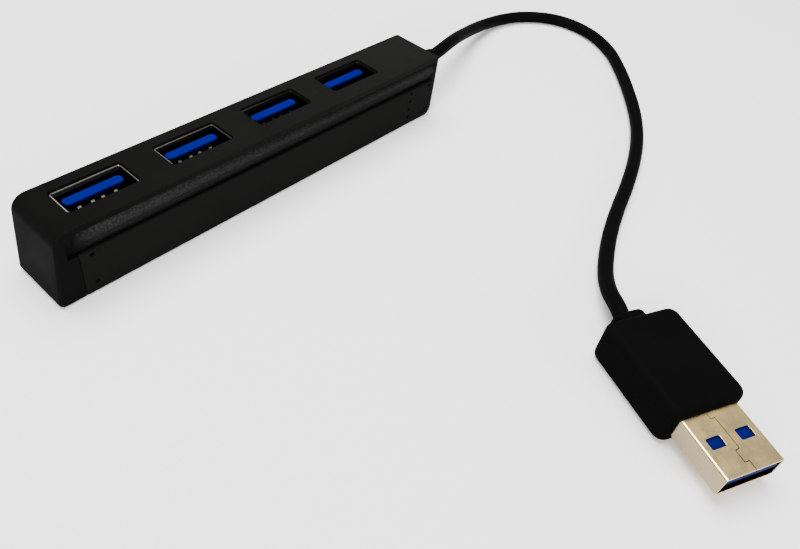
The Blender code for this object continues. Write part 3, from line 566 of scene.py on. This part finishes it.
def make_materials():
    case = (0.0042, 0.0042, 0.0040)
    # painted light: the panel is the case's plastic made a little lighter, for the light on the front
    # face
    panel = (0.0056, 0.0056, 0.0053)
    grip = (0.0022, 0.0022, 0.0021)
    blue = (0.0011, 0.0021, 0.1)
    # painted shade: the tongue's blue where it lies low in the socket
    shaded_navy = (0.0003, 0.0008, 0.016)
    # the socket plating gets painted shade along the bar, below its rim and before its near edge
    socket = scaled_along(plated("socket_plate", (0.42, 0.39, 0.35), 0.26, 0.12), *RIM_PAINTED_SHADE)
    shell = moulded("case_plastic", case, 0.5, 0.006 * MM, 0.12 * MM, 0.003, specks=SPECK_LEVEL)
    plate = moulded("panel_plastic", panel, 0.5, 0.008 * MM, 0.1 * MM, 0.003, specks=SPECK_LEVEL)
    tongue = moulded("tongue_blue", blue, 0.36, 0.004 * MM, 0.15 * MM, 0.004)
    gloss = moulded("gloss_plastic", case, 0.42, 0.06 * MM, 0.3 * MM, BEAD_HIGHLIGHT[0], handled=0.04)
    plug_plate = plated("plug_plate", (0.92, 0.72, 0.36), 0.2, 0.2, stain=(0.74, 0.68, 0.54))
    # painted shade inside the socket, below its rim
    socket = shaded_before(socket, "Z", *RIM_DARK_BELOW, PAINTED_SHADE)
    leaves = {}
    # each socket's contacts get their tone, painted shade included
    for number, tone in LEAF_SHADES.items():
        leaves[f"leaf_{number}"] = plated(f"leaf_{number}", tone, 0.34, 0.12)
    return {
        **leaves,
        # painted light along the bar on the case
        "case": scaled_along(shell, *CASE_PAINTED_LIGHT),
        "panel": plate,
        # painted highlight on the bead
        "gloss": painted_bead_highlight(gloss, *BEAD_HIGHLIGHT),
        "grip": moulded("grip_rubber", grip, 0.55, 0.008 * MM, 0.1 * MM, 0.002, specks=SPECK_LEVEL),
        "cord": moulded("cord_jacket", grip, 0.5, 0.006 * MM, 0.12 * MM, 0.004),
        "blue": moulded("plug_blue", (0.0004, 0.0022, 0.065), 0.36, 0.004 * MM, 0.15 * MM, 0.004),
        "tongue": shaded_before(tongue, "Z", *TONGUE_DARK_BELOW, shaded_navy),
        "board": moulded("solder_mask", (0.003, 0.04, 0.018), 0.3, 0.01 * MM, 0.2 * MM, specular=0.3),
        "chip": moulded("chip_epoxy", (0.004, 0.004, 0.004), 0.6, 0.01 * MM, 0.08 * MM, specular=0.2),
        "nickel": plated("nickel_plate", (0.74, 0.72, 0.68), 0.26, 0.12),
        # painted shade along the rim's near edge, where the housing shades it
        "socket": shaded_before(socket, "Y", *RIM_DARK_BEFORE, PAINTED_SHADE),
        # painted shade inside the plug's mouth and on its narrow sides
        "plug_plate": shaded_plug(plug_plate, (0.004, 0.004, 0.004), (0.3, 0.24, 0.15)),
        "can": plated("drawn_can", (0.75, 0.75, 0.76), 0.3, 0.1),
        "gold": plated("gold_flash", (0.2, 0.18, 0.15), 0.3, 0.12),
        "red": moulded("red_core", (0.3, 0.01, 0.01), 0.5, 0.005 * MM, 0.1 * MM),
        "white": moulded("white_core", (0.5, 0.5, 0.5), 0.5, 0.005 * MM, 0.1 * MM),
        "green": moulded("green_core", (0.01, 0.18, 0.03), 0.5, 0.005 * MM, 0.1 * MM),
        "black": moulded("black_core", (0.004, 0.004, 0.004), 0.5, 0.005 * MM, 0.1 * MM),
    }


# ---------------------------------------------------------------- camera, light and floor


def make_camera():
    data = bpy.data.cameras.new("camera")
    data.sensor_width = 36.0
    data.lens = CAMERA_LENS
    data.shift_x, data.shift_y = CAMERA_SHIFT
    data.clip_start = 0.001
    camera = bpy.data.objects.new("camera", data)
    camera.location = Vector(CAMERA_PLACE) * MM
    camera.rotation_euler = [math.radians(angle) for angle in CAMERA_TURN]
    bpy.context.scene.collection.objects.link(camera)
    bpy.context.scene.camera = camera


def make_light(name, place, target, size, power):
    data = bpy.data.lights.new(name, "AREA")
    data.shape = "RECTANGLE"
    data.size, data.size_y = size
    data.energy = power
    light = bpy.data.objects.new(name, data)
    light.location = place
    light.rotation_euler = (Vector(target) - Vector(place)).to_track_quat("-Z", "Y").to_euler()
    bpy.context.scene.collection.objects.link(light)


def make_lighting():
    world = bpy.data.worlds.new("studio")
    world.use_nodes = True
    background = world.node_tree.nodes["Background"]
    background.inputs["Color"].default_value = (1.0, 1.0, 1.0, 1.0)
    background.inputs["Strength"].default_value = WORLD_STRENGTH
    bpy.context.scene.world = world
    for light in LIGHTS:
        make_light(*light)


def make_floor():
    shape = bmesh.new()
    reach = FLOOR_REACH
    corners = ((-reach, -reach), (reach, -reach), (reach, reach), (-reach, reach))
    shape.faces.new([shape.verts.new((x, y, 0.0)) for x, y in corners])
    made, tree, shader, place = surface("pale_floor", (0.86, 0.86, 0.86), 0.9, specular=0.2)
    paper = noise(tree, place, PAPER_SCALE, detail=3.0)
    tone = mix_color(tree, paper, (0.85, 0.85, 0.85), (0.88, 0.88, 0.88))
    tree.links.new(tone, shader.inputs["Base Color"])
    floor = add_object("floor", shape, made)
    floor.location.z = -FLOOR_DROP


# ---------------------------------------------------------------- pieces


def stand_for(piece, *names, slot):
    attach(piece, HUB)
    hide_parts(*names)


def plug_place(u):
    return PLUG_MOUTH + Vector((u * math.cos(PLUG_HEADING), u * math.sin(PLUG_HEADING), 0.0))


def cord_route(gland_nose):
    """The same route as the frame's: out of the gland, down, and along the surface in a loop and an S."""
    collar = -(PLUG_SHOWN + GRIP_LENGTH + COLLAR_LENGTH)
    listed_route = [
        (61.9, 1.6, 9.6),
        (64.4, 2.2, 9.5),
        (67.2, 3.0, 9.2),
        (70.2, 3.9, 8.7),
        (73.5, 5.0, 8.0),
        (76.9, 6.1, 7.2),
        (80.5, 7.2, 6.3),
        (85.7, 8.7, 5.1),
        (90.4, 9.8, 4.1),
        (94.9, 10.7, 3.2),
        (100.0, 11.2, 2.4),
        (104.3, 11.2, 1.9),
        (108.6, 10.4, 1.7),
        (112.8, 8.7, 1.65),
        (116.5, 6.2, 1.65),
        (119.3, 3.5, 1.65),
        (121.4, 0.3, 1.65),
        (122.7, -3.9, 1.65),
        (122.7, -9.1, 1.65),
        (121.0, -14.8, 1.65),
        (117.0, -21.2, 1.65),
        (111.2, -27.2, 1.65),
        (102.5, -34.7, 1.65),
        (92.4, -42.3, 1.65),
        (82.4, -48.3, 1.65),
        (72.1, -52.9, 1.65),
        (61.8, -56.5, 1.65),
        (52.0, -59.4, 1.65),
        (43.6, -62.2, 1.65),
        (36.2, -65.3, 1.7),
        (30.0, -68.4, 2.2),
        (25.2, -71.5, 3.4),
        (22.0, -74.7, 4.2),
    ]
    points = [Vector((gland_nose - SOCKET_DEPTH + GAP, EXIT_Y, EXIT_Z))]
    points += [Vector(point) * MM for point in listed_route]
    points.append(plug_place(collar - PLUG_APPROACH))
    points.append(plug_place(collar + SOCKET_DEPTH - GAP))
    return points


def make_cord(finishes):
    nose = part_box("cable_gland")[1].x
    points, length = smooth_path(cord_route(nose), CORD_POINTS)
    curve = bpy.data.curves.new("lead", "CURVE")
    curve.dimensions = "3D"
    curve.bevel_depth = CORD_RADIUS
    curve.bevel_resolution = 8
    curve.use_fill_caps = True
    spline = curve.splines.new("POLY")
    spline.points.add(len(points) - 1)
    for place, point in zip(spline.points, points):
        place.co = (*point, 1.0)
    spline.use_smooth = True
    curve.materials.append(finishes["cord"])
    lead = bpy.data.objects.new("lead", curve)
    bpy.context.scene.collection.objects.link(lead)
    stand_for(lead, "cord", slot="cord")
    return lead, length


def cut_trim_recess(housing, low, high):
    """One recess for the panel, and a hollow above it in which the strip runs on to the free end."""
    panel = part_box("front_panel")
    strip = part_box("trim_strip")
    floor = panel[1].y + GAP
    below = -2 * MM
    front = 2 * low.y
    span = ((panel[0].x - GAP, front, below), (high.x - CABLE_END_WALL, floor, strip[1].z + GAP))
    combine(housing, boxes("recess", [span]))
    near = (strip[0].x - GAP, front, strip[0].z - PANEL_GROWTH / 2)
    far = (panel[0].x, floor, strip[1].z + GAP)
    combine(housing, boxes("hollow", [(near, far)]))


def cut_cavity(housing, low, high):
    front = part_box("front_panel")[1].y + GAP + FRONT_WALL
    near = (low.x + FREE_END_WALL, front, -2 * MM)
    far = (high.x - CABLE_END_WALL, high.y - SIDE_WALL, high.z - TOP_WALL)
    combine(housing, boxes("cavity", [(near, far)]))


def cut_port_holes(housing, high):
    shape = bmesh.new()
    for number in range(1, PORT_COUNT + 1):
        near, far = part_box(f"port_{number}_shell")
        middle = (near + far) / 2
        half_x = (far.x - near.x) / 2 + HOLE_CLEARANCE
        half_y = (far.y - near.y) / 2 + HOLE_CLEARANCE
        outline = rounded_rectangle(half_x, half_y + HOLE_FRONT / 2, SHELL_CORNER + HOLE_CLEARANCE)
        placed = [(a + middle.x, b + middle.y - HOLE_FRONT / 2) for a, b in outline]
        add_prism(shape, placed, "Z", high.z - 2 * TOP_WALL, 2 * high.z)
    combine(housing, add_object("port_holes", shape))


def make_housing(finishes):
    low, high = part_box("top_housing")
    side_view = rounded_outline(
        [
            (low.x, 0.0, FOOT_ROUNDING[0]),
            (high.x, 0.0, FOOT_ROUNDING[1]),
            (high.x, high.z, 0.0),
            (low.x + END_LEAN, high.z, END_ROUNDING),
        ],
        steps=14,
    )
    housing = prism("housing", side_view, "Y", low.y, high.y, finishes["case"])
    bevel(housing, EDGE_ROUNDING, segments=4)
    settle(housing)
    cut_cavity(housing, low, high)
    cut_trim_recess(housing, low, high)
    cut_port_holes(housing, high)
    shape = bmesh.new()
    add_cylinder(shape, (EXIT_Y, EXIT_Z), GLAND_BORE, "X", high.x - 3 * MM, high.x + 3 * MM, 32)
    combine(housing, add_object("exit_hole", shape))
    bevel(housing, EDGE_SOFTENING, segments=2, angle=50.0)
    settle(housing)
    smooth(housing)
    stand_for(housing, "top_housing", slot="case")


def make_panel(finishes):
    low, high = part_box("front_panel")
    grow = Vector((PANEL_GROWTH, 0.0, 0.0))
    head = Vector((0.0, 0.0, PANEL_GROWTH / 2))
    panel = boxes("panel", [(low - grow, high + grow + head)], finishes["panel"])
    bevel(panel, PANEL_ROUNDING, segments=4)
    settle(panel)
    shape = bmesh.new()
    places = [(x, z) for x in DIMPLE_PAIRS_X for z in DIMPLE_PAIR_HEIGHTS]
    places += [(DIMPLE_COLUMN_X, z) for z in DIMPLE_COLUMN_HEIGHTS]
    for place in places:
        add_cylinder(shape, place, DIMPLE_RADIUS, "Y", 2 * low.y, low.y + DIMPLE_DEPTH, 20)
    combine(panel, add_object("dimples", shape))
    smooth(panel)
    stand_for(panel, "front_panel", slot="panel")


def bead_ring(x, low, high, flange, swell):
    """A cross-section of the strip: a flat flange, with the bead standing out from it by swell."""
    middle = (low.z + high.z) / 2
    radius = (BEAD_HALF**2 + BEAD_RISE**2) / (2 * BEAD_RISE)
    opening = math.asin(BEAD_HALF / radius)
    width = BEAD_NOSE_SHARE + (1 - BEAD_NOSE_SHARE) * swell
    ring = [(x, high.y, low.z), (x, flange, low.z)]
    for step in range(BEAD_ARC_STEPS + 1):
        angle = opening * (2 * step / BEAD_ARC_STEPS - 1)
        bulge = (radius * math.cos(angle) - (radius - BEAD_RISE)) * swell
        ring.append((x, flange - bulge, middle + radius * math.sin(angle) * width))
    ring += [(x, flange, high.z), (x, high.y, high.z)]
    return ring


def make_bead(finishes):
    """The glossy strip: a thin flange with a convex bead that ends round at the free end."""
    low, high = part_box("trim_strip")
    flange = low.y + BEAD_RISE
    grow = Vector((0.0, 0.0, PANEL_GROWTH / 2))
    low, high = low - grow, high + 2 * grow + Vector((PANEL_GROWTH, 0.0, 0.0))
    stations = [(low.x, 0.0)]
    for step in range(BEAD_NOSE_STEPS + 1):
        turn = math.pi / 2 * step / BEAD_NOSE_STEPS
        stations.append((BEAD_START + BEAD_RAMP * (1 - math.cos(turn)), math.sin(turn)))
    start = BEAD_START + BEAD_RAMP
    for step in range(1, BEAD_STATIONS + 1):
        stations.append((start + (high.x - start) * step / BEAD_STATIONS, 1.0))
    rings = [bead_ring(x, low, high, flange, swell) for x, swell in stations]
    bead = loft("bead", rings, finishes["gloss"])
    smooth(bead, 40.0)
    stand_for(bead, "trim_strip", slot="gloss")


def finger_slits(name, middle, front, back):
    shape = bmesh.new()
    half = FINGER_HALF
    slit = FINGER_SLIT
    root = PORT_FOOT + FINGER_ROOT
    free = PORT_FOOT + FINGER_TIP
    for side in (-1, 1):
        x = middle + side * FINGER_OFFSET
        outline = [
            (x - half - slit, root),
            (x - half, root),
            (x - half, free),
            (x + half, free),
            (x + half, root),
            (x + half + slit, root),
            (x + half + slit, free + slit),
            (x - half - slit, free + slit),
        ]
        add_prism(shape, outline, "Y", front - MM, back + MM)
    return add_object(name, shape)


def make_port(number, finishes):
    name = f"port_{number}"
    low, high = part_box(f"{name}_shell")
    middle = (low + high) / 2
    half_x = (high.x - low.x) / 2
    half_y = (high.y - low.y) / 2

    def ring(inset, narrow=False):
        shrink_x = inset + (LIP_FLARE if narrow else 0.0)
        shrink_y = inset + (LIP_SPREAD if narrow else 0.0)
        outline = rounded_rectangle(half_x - shrink_x, half_y - shrink_y, SHELL_CORNER - inset)
        return [(a + middle.x, b + middle.y) for a, b in outline]

    edge = 0.1 * MM
    neck = high.z - LIP_DEPTH
    rings = [
        (ring(0.0, narrow=True), PORT_FOOT),
        (ring(0.0, narrow=True), neck),
        (ring(0.0), high.z - edge),
        (ring(edge * 0.3), high.z - edge * 0.3),
        (ring(edge), high.z),
        (ring(SHEET - edge), high.z),
        (ring(SHEET), high.z - edge),
        (ring(SHEET, narrow=True), neck),
        (ring(SHEET, narrow=True), PORT_FOOT),
    ]
    shell = sleeve(f"{name}_socket", rings, "Z", finishes["socket"])
    combine(shell, finger_slits("fingers", middle.x, low.y, high.y))
    smooth(shell)
    stand_for(shell, f"{name}_shell", slot="nickel")


def make_tongue(number, finishes):
    """The blue block: a broad foot that fills the socket, and a tongue with rounded ends and grooves."""
    name = f"port_{number}"
    low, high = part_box(f"{name}_tongue")
    middle = (low + high) / 2
    front, back = TONGUE_SPREAD
    plan = rounded_rectangle((high.x - low.x) / 2, (back - front) / 2, TONGUE_END_ROUNDING, steps=8)
    placed = [(a + middle.x, b + middle.y + (front + back) / 2) for a, b in plan]
    start = (low.z + TONGUE_BASE_TOP) / 2
    tongue = prism(f"{name}_tongue_block", placed, "Z", start, high.z, finishes["tongue"])
    bevel(tongue, TONGUE_EDGE, segments=3)
    settle(tongue)
    foot = boxes("foot", [((low.x, low.y, low.z), (high.x, high.y, TONGUE_BASE_TOP))])
    combine(tongue, foot, "UNION")
    spans = []
    for offset in CONTACT_OFFSETS:
        x = middle.x + offset
        near = (x - GROOVE_HALF, low.y - MM, 0.0)
        spans.append((near, (x + GROOVE_HALF, middle.y + GROOVE_FLOOR, GROOVE_TOP)))
    combine(tongue, boxes("grooves", spans))
    smooth(tongue)
    stand_for(tongue, f"{name}_tongue", slot="blue")


def lay_plug_piece(made):
    """Takes a piece from the plug's own frame to where the plug lies."""
    cosine, sine = math.cos(PLUG_HEADING), math.sin(PLUG_HEADING)
    for vertex in made.data.vertices:
        u, v, w = vertex.co
        vertex.co = PLUG_MOUTH + Vector((u * cosine - v * sine, u * sine + v * cosine, w))


def make_plug_shell(finishes):
    def ring(inset, corner):
        return rounded_rectangle(PLUG_WIDTH / 2 - inset, PLUG_HEIGHT / 2 - inset, corner)

    edge = 0.08 * MM
    rear = -(PLUG_SHOWN + PLUG_BURIED)
    rings = [
        (ring(0.0, 0.5 * MM), rear),
        (ring(0.0, 0.5 * MM), -edge),
        (ring(edge * 0.3, 0.48 * MM), -edge * 0.3),
        (ring(edge, 0.42 * MM), 0.0),
        (ring(SHEET - edge, 0.3 * MM), 0.0),
        (ring(SHEET, 0.2 * MM), -edge),
        (ring(SHEET, 0.2 * MM), rear),
    ]
    shell = sleeve("plug_sleeve", rings, "X", finishes["plug_plate"])
    reach = PLUG_HEIGHT
    shape = bmesh.new()
    for side in (-1, 1):
        outline = rounded_rectangle(WINDOW_HALF[0], WINDOW_HALF[1], WINDOW_CORNER, steps=4)
        placed = [(a + WINDOW_PLACE[0], b + side * WINDOW_PLACE[1]) for a, b in outline]
        add_prism(shape, placed, "Z", -reach, reach)
    combine(shell, add_object("windows", shape))
    bevel(shell, 0.06 * MM, segments=2, angle=50.0)
    settle(shell)
    half = SEAM_HALF
    outline = [(u + a * half, v + b * half) for (u, v), (a, b) in zip(SEAM, SEAM_SIDES)]
    outline += [(u - a * half, v - b * half) for (u, v), (a, b) in reversed(list(zip(SEAM, SEAM_SIDES)))]
    combine(shell, prism("seam", outline, "Z", PLUG_HEIGHT / 4, PLUG_HEIGHT))
    smooth(shell)
    lay_plug_piece(shell)
    stand_for(shell, "plug_shell", slot="plug_plate")
    return shell


def make_plug_insulator(finishes):
    half = PLUG_WIDTH / 2 - SHEET - BLOCK_CLEARANCE
    head = PLUG_HEIGHT / 2 - SHEET - BLOCK_CLEARANCE
    rear = -(PLUG_SHOWN + PLUG_BURIED - BLOCK_CLEARANCE)
    block = boxes("plug_block", [((rear, -half, 0.0), (-BLOCK_CLEARANCE, half, head))], finishes["blue"])
    bevel(block, 0.15 * MM, segments=3)
    settle(block)
    grooves = []
    for offset in CONTACT_OFFSETS:
        near = (BLADE_SPAN[0], offset - BLADE_HALF, -MM)
        grooves.append((near, (BLADE_SPAN[1], offset + BLADE_HALF, BLADE_TOP)))
    combine(block, boxes("grooves", grooves))
    smooth(block)
    lay_plug_piece(block)
    stand_for(block, "plug_insulator", slot="blue")
    return block


def make_grip(finishes):
    front = -PLUG_SHOWN
    back = front - GRIP_LENGTH
    outline = rounded_outline(
        [
            (back, -GRIP_HALF_WIDTH, GRIP_CORNER),
            (front, -GRIP_HALF_WIDTH, GRIP_CORNER),
            (front, GRIP_HALF_WIDTH, GRIP_CORNER),
            (back, GRIP_HALF_WIDTH, GRIP_CORNER),
        ],
        steps=10,
    )
    grip = prism("grip", outline, "Z", -GRIP_HALF_HEIGHT, GRIP_HALF_HEIGHT, finishes["grip"])
    bevel(grip, GRIP_EDGE, segments=8)
    settle(grip)
    collar_outline = rounded_rectangle(*COLLAR_HALF, COLLAR_CORNER)
    collar = prism("collar", collar_outline, "X", back - COLLAR_LENGTH, back + GRIP_CORNER)
    bevel(collar, COLLAR_EDGE, segments=5)
    settle(collar)
    combine(grip, collar, "UNION")
    half_width = PLUG_WIDTH / 2 + POCKET_CLEARANCE
    half_height = PLUG_HEIGHT / 2 + POCKET_CLEARANCE
    near = (front - PLUG_BURIED - GAP, -half_width, -half_height)
    combine(grip, boxes("pocket", [(near, (front + 2 * MM, half_width, half_height))]))
    shape = bmesh.new()
    end = back - COLLAR_LENGTH
    bore = CORD_RADIUS + CORD_CLEARANCE
    add_cylinder(shape, (0.0, 0.0), bore, "X", end - 3 * MM, end + SOCKET_DEPTH, 40)
    combine(grip, add_object("socket", shape))
    smooth(grip, 40.0)
    lay_plug_piece(grip)
    stand_for(grip, "plug_overmould", slot="grip")
    return grip


def make_gland(finishes):
    low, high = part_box("cable_gland")
    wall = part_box("top_housing")[1].x
    inside = wall - CABLE_END_WALL - GAP
    outside = wall + GAP
    bore = CORD_RADIUS + CORD_CLEARANCE
    profile = [  # place along the bar, and radius
        (low.x, 3.0 * MM),
        (low.x + 0.2 * MM, 3.2 * MM),
        (inside, 3.2 * MM),
        (inside, 2.2 * MM),
        (outside, 2.2 * MM),
        (outside, 2.7 * MM),
        (outside + 0.1 * MM, 2.8 * MM),
        (outside + 1.1 * MM, 2.8 * MM),
        (outside + 1.35 * MM, 2.75 * MM),
        (outside + 1.6 * MM, 2.6 * MM),
        (high.x - 0.4 * MM, 2.2 * MM),
        (high.x - 0.12 * MM, 2.15 * MM),
        (high.x, 2.0 * MM),
        (high.x, bore),
        (high.x - SOCKET_DEPTH, bore),
    ]
    turns = [math.tau * side / ROUND_SIDES for side in range(ROUND_SIDES)]
    rings = []
    for x, radius in profile:
        rings.append([(x, EXIT_Y + radius * math.cos(t), EXIT_Z + radius * math.sin(t)) for t in turns])
    gland = loft("strain_relief", rings, finishes["grip"])
    smooth(gland, 40.0)
    stand_for(gland, "cable_gland", slot="grip")
    return gland


def dress_frame(finishes):
    """Every CAD node that stays gets its procedural material."""
    slots = {row["node"]: row["material_slot"] for row in frame["record"]["subparts"]}
    for port in range(1, PORT_COUNT + 1):
        for number in range(1, CONTACT_COUNT + 1):
            slots[f"port_{port}_contact_{number}"] = f"leaf_{port}"
    for name, made in frame["nodes"].items():
        made.data.materials.clear()
        made.data.materials.append(finishes[slots[name]])


def main():
    make_camera()
    finishes = make_materials()
    dress_frame(finishes)
    lead, length = make_cord(finishes)
    pieces = [
        make_gland(finishes),
        make_grip(finishes),
        make_plug_shell(finishes),
        make_plug_insulator(finishes),
    ]
    pieces += [frame["nodes"][f"plug_contact_{number}"] for number in range(1, CONTACT_COUNT + 1)]
    make_housing(finishes)
    make_panel(finishes)
    make_bead(finishes)
    for number in range(1, PORT_COUNT + 1):
        make_port(number, finishes)
        make_tongue(number, finishes)
    make_lighting()
    make_floor()


main()
